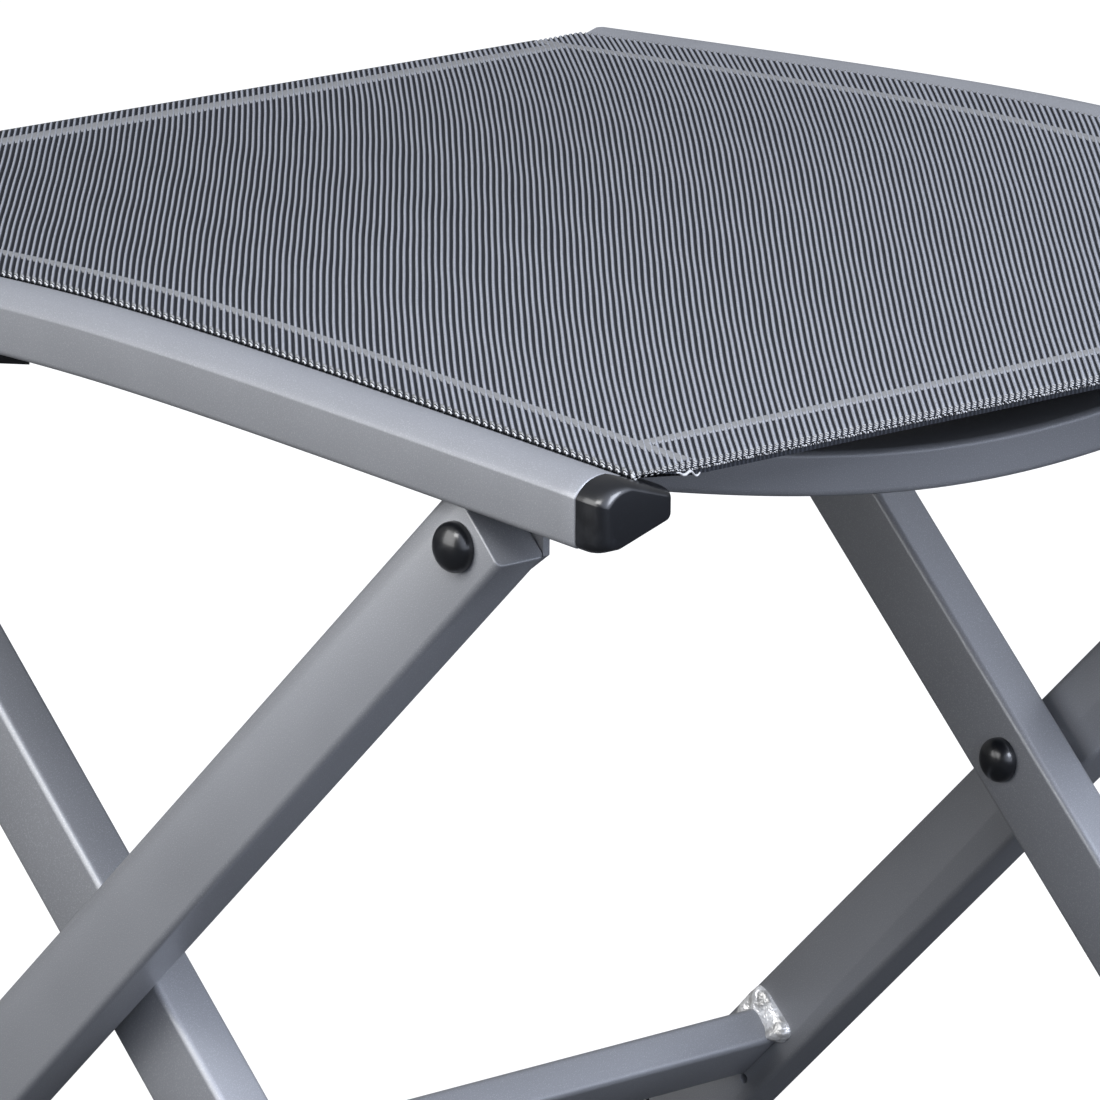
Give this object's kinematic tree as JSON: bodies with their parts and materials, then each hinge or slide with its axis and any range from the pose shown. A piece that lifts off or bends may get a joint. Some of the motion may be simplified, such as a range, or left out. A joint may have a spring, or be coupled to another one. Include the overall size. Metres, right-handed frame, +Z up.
{
  "type": "folding footstool",
  "caption": "Folding outdoor footstool: grey mesh sling between arched aluminium rails on crossed rectangular-tube legs with black caps",
  "frame": {"origin": "centre of the bounding box's underside, on the floor", "axes": "+X along the side rails towards the hinged front end with the projecting black caps, +Y across the stool towards the right rail, +Z up"},
  "size_m": [0.5448, 0.506, 0.4551],
  "materials": {
    "powder_coat": "satin silver-grey powder coat on aluminium tube",
    "black_plastic": "satin black moulded nylon",
    "zinc_steel": "bright zinc plate",
    "sling_fabric": "coated polyester mesh, grey ribs on dark yarn",
    "pale_plastic": "natural plastic"
  },
  "bodies": {
    "seat": {"left_side_rail": "powder_coat", "left_front_end_cap": "black_plastic", "left_back_end_plug": "black_plastic", "left_welt_rod": "pale_plastic", "left_hinge_bracket": "powder_coat", "left_hinge_bolt": "zinc_steel", "left_hinge_nut": "zinc_steel", "left_hinge_cover": "black_plastic", "right_side_rail": "powder_coat", "right_front_end_cap": "black_plastic", "right_back_end_plug": "black_plastic", "right_welt_rod": "pale_plastic", "right_hinge_bracket": "powder_coat", "right_hinge_bolt": "zinc_steel", "right_hinge_nut": "zinc_steel", "right_hinge_cover": "black_plastic", "front_seat_bar": "powder_coat", "back_seat_bar": "powder_coat", "sling": "sling_fabric"},
    "outer_legs": {"left_outer_leg": "powder_coat", "left_outer_foot_cap": "black_plastic", "left_pivot_insert": "zinc_steel", "right_outer_leg": "powder_coat", "right_outer_foot_cap": "black_plastic", "right_pivot_insert": "zinc_steel", "outer_cross_tube": "powder_coat"},
    "inner_legs": {"left_inner_leg": "powder_coat", "left_inner_foot_cap": "black_plastic", "left_top_plug": "black_plastic", "left_pivot_bolt": "zinc_steel", "left_pivot_washer": "pale_plastic", "left_pivot_cover": "black_plastic", "right_inner_leg": "powder_coat", "right_inner_foot_cap": "black_plastic", "right_top_plug": "black_plastic", "right_pivot_bolt": "zinc_steel", "right_pivot_washer": "pale_plastic", "right_pivot_cover": "black_plastic", "inner_cross_tube": "powder_coat", "carrying_bar": "powder_coat", "left_rest_pad": "black_plastic", "right_rest_pad": "black_plastic"}
  },
  "joints": [
    {"name": "seat_hinge", "type": "hinge", "parent": "seat", "child": "outer_legs", "pos_m": [0.1963, 0, 0.40853], "axis": [0, 1, 0], "range_deg": [0, 35]},
    {"name": "leg_pivot", "type": "hinge", "parent": "outer_legs", "child": "inner_legs", "pos_m": [-0.0044, 0, 0.21472], "axis": [0, 1, 0], "range_deg": [-79, 0]}
  ],
  "couplings": [
    {"joint": "leg_pivot", "follows": "seat_hinge", "ratio": -2.25}
  ]
}
